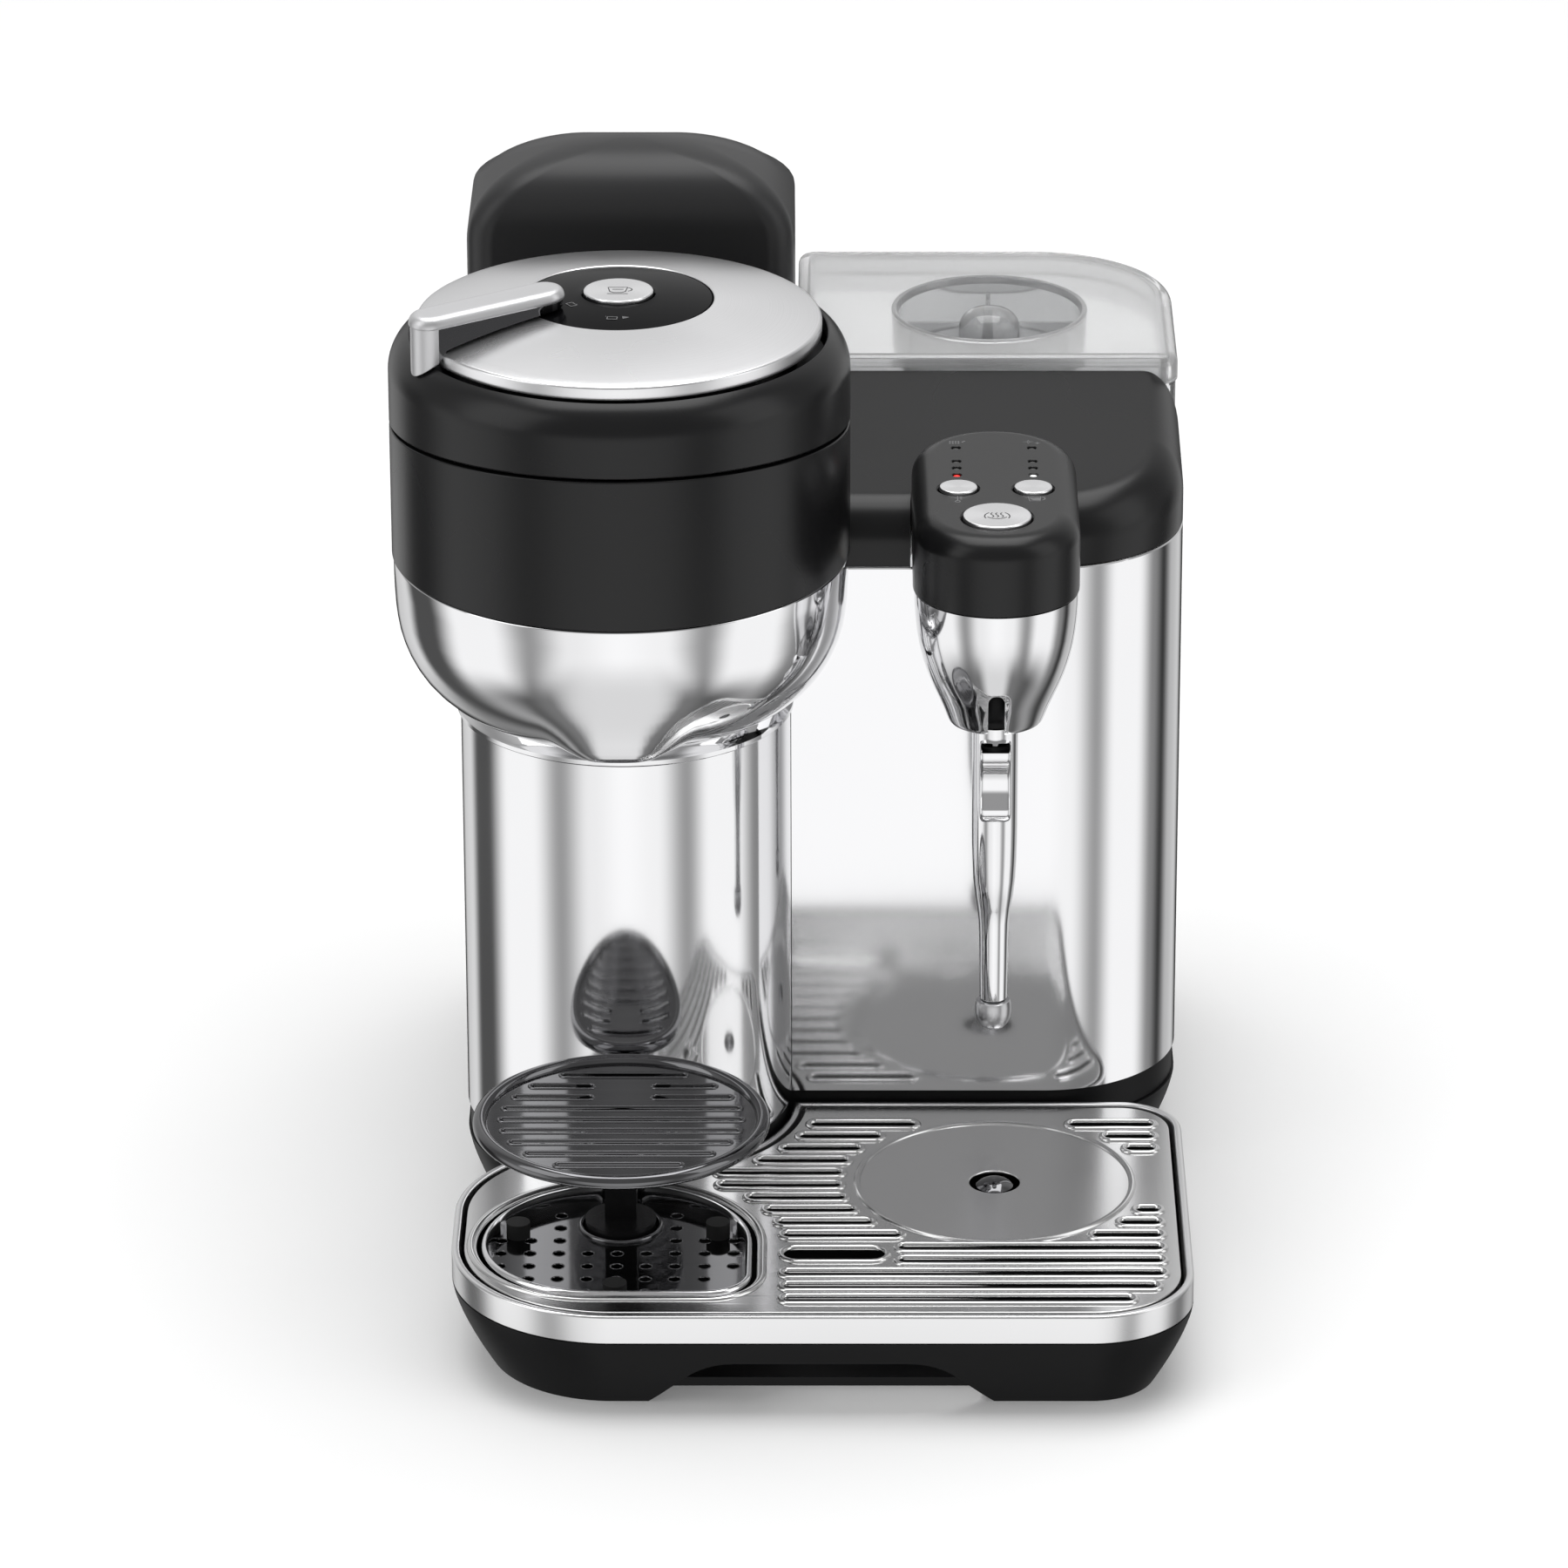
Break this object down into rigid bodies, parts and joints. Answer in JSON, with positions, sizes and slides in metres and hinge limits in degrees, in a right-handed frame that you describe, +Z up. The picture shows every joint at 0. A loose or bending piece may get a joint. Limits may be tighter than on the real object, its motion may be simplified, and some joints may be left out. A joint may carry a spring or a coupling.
{
  "type": "pod coffee machine",
  "caption": "Pod coffee machine with a round brew head on a polished column, a steam wand head, a louvred drip tray, a cup platform, a rear tank and a capsule container.",
  "frame": {"origin": "under the middle of the whole machine's box, on the surface it stands on", "axes": "+X right seen from the front, +Y from the front to the back, +Z up"},
  "size_m": [0.25, 0.35, 0.334],
  "materials": {
    "black_plastic": "satin soft-touch black",
    "gloss_black": "gloss black",
    "black_base": "fine-grain black",
    "polished_steel": "polished stainless steel",
    "brushed_steel": "satin brushed stainless steel",
    "chrome": "bright chrome",
    "dark_chrome": "dark mirror chrome",
    "silver_paint": "satin silver",
    "rubber": "matt black rubber",
    "clear_plastic": "clear, lightly smoked plastic",
    "inner_plastic": "moulded dark grey",
    "machined_steel": "machined steel",
    "aluminium": "die-cast aluminium",
    "brass": "machined brass",
    "circuit_board": "green solder mask",
    "silicone": "translucent white silicone",
    "indicator": "clear indicator lens"
  },
  "bodies": {
    "machine": {"rear_base_shell": "black_base", "housing_screws": "machined_steel", "rubber_feet": "rubber", "rear_base_skirt": "silver_paint", "column_sleeve": "polished_steel", "column_neck": "chrome", "brew_bowl": "chrome", "brew_head_band": "black_plastic", "front_panel": "polished_steel", "deck_cover": "black_plastic", "rear_cover": "black_plastic", "chassis_frame": "inner_plastic", "brew_chamber_base": "inner_plastic", "holder_bearing": "machined_steel", "drive_belt": "rubber", "spin_motor": "machined_steel", "lid_hinge_pin": "machined_steel", "steam_head_cover": "black_plastic", "steam_head_cup": "chrome", "status_leds": "indicator", "steam_control_board": "circuit_board", "tank_seat_valve": "rubber", "water_pump": "inner_plastic", "coffee_heater": "aluminium", "steam_heater": "aluminium", "flow_meter": "inner_plastic", "solenoid_valve": "brass", "hoses": "silicone", "main_board": "circuit_board", "cord_gland": "rubber"},
    "drip_tray": {"tray_base_shell": "black_base", "tray_trim_band": "brushed_steel", "cup_post_socket": "black_base", "jug_temperature_sensor": "dark_chrome"},
    "drip_grille": {"drip_grille": "polished_steel", "perforated_plate": "dark_chrome", "plate_bumpers": "rubber"},
    "cup_support": {"cup_support_post": "black_plastic", "cup_platform": "dark_chrome"},
    "lid": {"lid_shell": "black_plastic", "lid_disc": "brushed_steel", "lid_insert": "gloss_black", "lid_inner_liner": "inner_plastic"},
    "lock_lever": {"lock_lever": "chrome", "lock_ring": "inner_plastic"},
    "coffee_button": {"coffee_button": "brushed_steel"},
    "piercing_plate": {"piercing_plate": "inner_plastic"},
    "capsule_holder": {"capsule_holder": "machined_steel", "holder_pulley": "inner_plastic"},
    "motor_pulley": {"motor_pulley": "aluminium"},
    "steam_button": {"steam_button": "brushed_steel"},
    "milk_temperature_button": {"milk_temperature_button": "brushed_steel"},
    "milk_froth_button": {"milk_froth_button": "brushed_steel"},
    "steam_wand": {"steam_wand": "chrome", "wand_tip": "chrome"},
    "water_tank": {"water_tank": "clear_plastic"},
    "tank_lid": {"tank_lid": "clear_plastic"},
    "capsule_container": {"capsule_container": "black_plastic"}
  },
  "joints": [
    {"name": "tray_pull_out", "type": "slide", "parent": "machine", "child": "drip_tray", "axis": [0, -1, 0], "range_m": [0, 0.16]},
    {"name": "grille_lift_out", "type": "slide", "parent": "drip_tray", "child": "drip_grille", "axis": [0, 0, 1], "range_m": [0, 0.03]},
    {"name": "cup_support_lift_off", "type": "slide", "parent": "drip_grille", "child": "cup_support", "axis": [0, 0, 1], "range_m": [0, 0.03]},
    {"name": "lid_hinge", "type": "hinge", "parent": "machine", "child": "lid", "pos_m": [-0.0535, 0.027, 0.277], "axis": [-1, 0, 0], "range_deg": [0, 48]},
    {"name": "lock_lever_turn", "type": "hinge", "parent": "lid", "child": "lock_lever", "pos_m": [-0.0535, -0.05, 0.32], "axis": [0, 0, 1], "range_deg": [0, 50]},
    {"name": "coffee_button_press", "type": "slide", "parent": "lid", "child": "coffee_button", "axis": [0, 0, -1], "range_m": [0, 0.0011], "stiffness_N_per_m": 1500},
    {"name": "piercing_plate_spin", "type": "hinge", "parent": "lid", "child": "piercing_plate", "pos_m": [-0.0535, -0.05, 0.277], "axis": [0, 0, 1], "continuous": true},
    {"name": "capsule_holder_spin", "type": "hinge", "parent": "machine", "child": "capsule_holder", "pos_m": [-0.0535, -0.05, 0.239], "axis": [0, 0, 1], "continuous": true},
    {"name": "motor_pulley_spin", "type": "hinge", "parent": "machine", "child": "motor_pulley", "pos_m": [-0.0535, -0.004, 0.212], "axis": [0, 0, 1], "continuous": true},
    {"name": "steam_button_press", "type": "slide", "parent": "machine", "child": "steam_button", "axis": [0, 0, -1], "range_m": [0, 0.0011], "stiffness_N_per_m": 1500},
    {"name": "milk_temperature_button_press", "type": "slide", "parent": "machine", "child": "milk_temperature_button", "axis": [0, 0, -1], "range_m": [0, 0.0011], "stiffness_N_per_m": 1500},
    {"name": "milk_froth_button_press", "type": "slide", "parent": "machine", "child": "milk_froth_button", "axis": [0, 0, -1], "range_m": [0, 0.0011], "stiffness_N_per_m": 1500},
    {"name": "wand_swing", "type": "hinge", "parent": "machine", "child": "steam_wand", "pos_m": [0.0634, -0.063, 0.197], "axis": [-1, 0, 0], "range_deg": [0, 24]},
    {"name": "tank_lift_off", "type": "slide", "parent": "machine", "child": "water_tank", "axis": [0, 0, 1], "range_m": [0, 0.12]},
    {"name": "tank_lid_lift_off", "type": "slide", "parent": "water_tank", "child": "tank_lid", "axis": [0, 0, 1], "range_m": [0, 0.05]},
    {"name": "container_lift_off", "type": "slide", "parent": "machine", "child": "capsule_container", "axis": [0, 0, 1], "range_m": [0, 0.12]}
  ],
  "couplings": [
    {"joint": "motor_pulley_spin", "follows": "capsule_holder_spin", "ratio": 2},
    {"joint": "piercing_plate_spin", "follows": "capsule_holder_spin", "ratio": 1}
  ]
}
